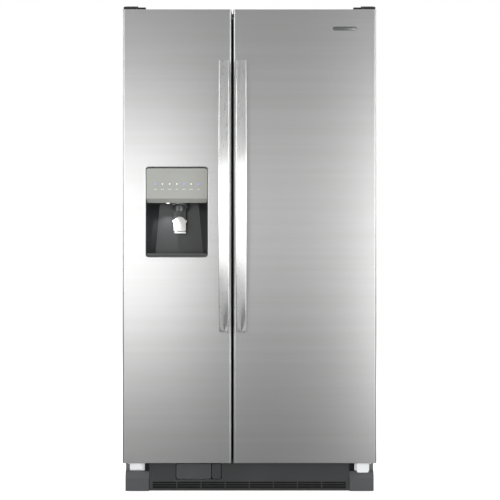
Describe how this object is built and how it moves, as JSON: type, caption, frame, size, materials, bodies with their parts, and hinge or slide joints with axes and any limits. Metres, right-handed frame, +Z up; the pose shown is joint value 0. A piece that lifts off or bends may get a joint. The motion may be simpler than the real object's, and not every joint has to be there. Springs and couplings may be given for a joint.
{
  "type": "side by side refrigerator",
  "caption": "Free-standing side by side refrigerator with bowed bar handles, an ice and water dispenser in the freezer door, fitted interiors and a ribbed base grille.",
  "frame": {"origin": "on the floor, under the middle of the overall box", "axes": "+X to the right, +Y to the back, +Z up, seen from the front of the doors"},
  "size_m": [0.908, 0.847, 1.775],
  "materials": {
    "stainless": "satin",
    "painted_steel": "satin",
    "zinc_steel": "satin",
    "foam": "matte",
    "white_plastic": "satin",
    "clear_plastic": "gloss",
    "shelf_glass": "gloss",
    "wire": "satin",
    "charcoal_plastic": "matte",
    "grey_plastic": "matte",
    "filter_grey": "satin",
    "panel_grey": "satin",
    "paddle_grey": "satin",
    "tray_grey": "satin",
    "gasket_rubber": "matte",
    "black_steel": "satin",
    "coil_metal": "satin",
    "black_plastic": "satin",
    "nylon": "satin",
    "leg_steel": "satin"
  },
  "bodies": {
    "cabinet": {"outer_wrapper": "painted_steel", "back_panel": "painted_steel", "insulation_foam": "foam", "freezer_liner": "white_plastic", "fridge_liner": "white_plastic", "base_frame": "zinc_steel", "base_grille": "charcoal_plastic", "corner_covers": "grey_plastic", "lower_hinges": "zinc_steel", "upper_hinges": "zinc_steel", "hinge_covers": "charcoal_plastic", "hinge_screws": "zinc_steel", "compressor": "black_steel", "condenser": "coil_metal", "drain_pan": "white_plastic", "machine_cover": "zinc_steel", "water_valve": "black_plastic", "power_inlet": "black_plastic", "filter_housing": "filter_grey", "fridge_shelves": "shelf_glass", "freezer_shelves": "wire", "evaporator_cover": "white_plastic", "evaporator": "coil_metal", "ice_maker": "white_plastic", "ice_bucket": "clear_plastic", "drawer_runners": "white_plastic"},
    "freezer_door": {"freezer_door_skin": "stainless", "freezer_door_foam": "foam", "freezer_door_liner": "white_plastic", "freezer_gasket": "gasket_rubber", "freezer_handle": "stainless", "freezer_bins": "clear_plastic", "dispenser_housing": "charcoal_plastic", "control_panel": "panel_grey", "ice_chute": "paddle_grey", "drip_tray": "tray_grey"},
    "fridge_door": {"fridge_door_skin": "stainless", "fridge_door_foam": "foam", "fridge_door_liner": "white_plastic", "fridge_gasket": "gasket_rubber", "fridge_handle": "stainless", "fridge_bins": "clear_plastic"},
    "dispenser_lever": {"dispenser_lever": "paddle_grey"},
    "chute_flap": {"chute_flap": "paddle_grey"},
    "dairy_lid": {"dairy_lid": "clear_plastic"},
    "filter_cartridge": {"filter_cartridge": "filter_grey"},
    "eject_button": {"eject_button": "charcoal_plastic"},
    "condenser_fan": {"condenser_fan": "black_plastic"},
    "evaporator_fan": {"evaporator_fan": "black_plastic"},
    "ice_maker_arm": {"ice_maker_arm": "wire"},
    "freezer_basket_lower": {"freezer_basket_lower": "clear_plastic"},
    "freezer_basket_upper": {"freezer_basket_upper": "clear_plastic"},
    "crisper_drawer": {"crisper_drawer": "clear_plastic"},
    "deli_drawer": {"deli_drawer": "clear_plastic"},
    "front_roller_left": {"front_roller_left": "nylon"},
    "rear_roller_left": {"rear_roller_left": "nylon"},
    "levelling_leg_left": {"levelling_leg_left": "leg_steel"},
    "front_roller_right": {"front_roller_right": "nylon"},
    "rear_roller_right": {"rear_roller_right": "nylon"},
    "levelling_leg_right": {"levelling_leg_right": "leg_steel"}
  },
  "joints": [
    {"name": "freezer_door_hinge", "type": "hinge", "parent": "cabinet", "child": "freezer_door", "pos_m": [-0.425, -0.33, 0.93], "axis": [0, 0, -1], "range_deg": [0, 130]},
    {"name": "fridge_door_hinge", "type": "hinge", "parent": "cabinet", "child": "fridge_door", "pos_m": [0.425, -0.33, 0.93], "axis": [0, 0, 1], "range_deg": [0, 130]},
    {"name": "lever_hinge", "type": "hinge", "parent": "freezer_door", "child": "dispenser_lever", "pos_m": [-0.2555, -0.2785, 1.043], "axis": [1, 0, 0], "range_deg": [0, 12], "stiffness_Nm_per_rad": 0.4, "springref_deg": -2.86},
    {"name": "flap_hinge", "type": "hinge", "parent": "freezer_door", "child": "chute_flap", "pos_m": [-0.2555, -0.298, 1.08325], "axis": [1, 0, 0], "range_deg": [0, 55]},
    {"name": "dairy_lid_hinge", "type": "hinge", "parent": "fridge_door", "child": "dairy_lid", "pos_m": [0.2, -0.2282, 1.6045], "axis": [1, 0, 0], "range_deg": [0, 80]},
    {"name": "filter_slide", "type": "slide", "parent": "cabinet", "child": "filter_cartridge", "axis": [0, -1, 0], "range_m": [0, 0.26]},
    {"name": "eject_button_slide", "type": "slide", "parent": "cabinet", "child": "eject_button", "axis": [0, 1, 0], "range_m": [0, 0.006], "stiffness_N_per_m": 600},
    {"name": "condenser_fan_spin", "type": "hinge", "parent": "cabinet", "child": "condenser_fan", "pos_m": [-0.048, 0.265, 0.175], "axis": [1, 0, 0], "continuous": true},
    {"name": "evaporator_fan_spin", "type": "hinge", "parent": "cabinet", "child": "evaporator_fan", "pos_m": [-0.24163, 0.264, 1.17], "axis": [0, 1, 0], "continuous": true},
    {"name": "ice_maker_arm_hinge", "type": "hinge", "parent": "cabinet", "child": "ice_maker_arm", "pos_m": [-0.24, -0.074, 1.576], "axis": [1, 0, 0], "range_deg": [-40, 0]},
    {"name": "freezer_basket_lower_slide", "type": "slide", "parent": "cabinet", "child": "freezer_basket_lower", "axis": [0, -1, 0], "range_m": [0, 0.16]},
    {"name": "freezer_basket_upper_slide", "type": "slide", "parent": "cabinet", "child": "freezer_basket_upper", "axis": [0, -1, 0], "range_m": [0, 0.16]},
    {"name": "crisper_drawer_slide", "type": "slide", "parent": "cabinet", "child": "crisper_drawer", "axis": [0, -1, 0], "range_m": [0, 0.16]},
    {"name": "deli_drawer_slide", "type": "slide", "parent": "cabinet", "child": "deli_drawer", "axis": [0, -1, 0], "range_m": [0, 0.16]},
    {"name": "front_roller_left_spin", "type": "hinge", "parent": "cabinet", "child": "front_roller_left", "pos_m": [-0.4315, -0.223, 0.022], "axis": [1, 0, 0], "continuous": true},
    {"name": "rear_roller_left_spin", "type": "hinge", "parent": "cabinet", "child": "rear_roller_left", "pos_m": [-0.4315, 0.35, 0.02], "axis": [1, 0, 0], "continuous": true},
    {"name": "levelling_leg_left_slide", "type": "slide", "parent": "cabinet", "child": "levelling_leg_left", "axis": [0, 0, -1], "range_m": [0, 0.02]},
    {"name": "front_roller_right_spin", "type": "hinge", "parent": "cabinet", "child": "front_roller_right", "pos_m": [0.4315, -0.223, 0.022], "axis": [1, 0, 0], "continuous": true},
    {"name": "rear_roller_right_spin", "type": "hinge", "parent": "cabinet", "child": "rear_roller_right", "pos_m": [0.4315, 0.35, 0.02], "axis": [1, 0, 0], "continuous": true},
    {"name": "levelling_leg_right_slide", "type": "slide", "parent": "cabinet", "child": "levelling_leg_right", "axis": [0, 0, -1], "range_m": [0, 0.02]}
  ],
  "couplings": [
    {"joint": "freezer_basket_lower_slide", "follows": "freezer_door_hinge", "m_per_rad": 0.070517},
    {"joint": "freezer_basket_upper_slide", "follows": "freezer_door_hinge", "m_per_rad": 0.070517},
    {"joint": "crisper_drawer_slide", "follows": "fridge_door_hinge", "m_per_rad": 0.070517},
    {"joint": "deli_drawer_slide", "follows": "fridge_door_hinge", "m_per_rad": 0.070517},
    {"joint": "flap_hinge", "follows": "lever_hinge", "ratio": 4.58}
  ]
}
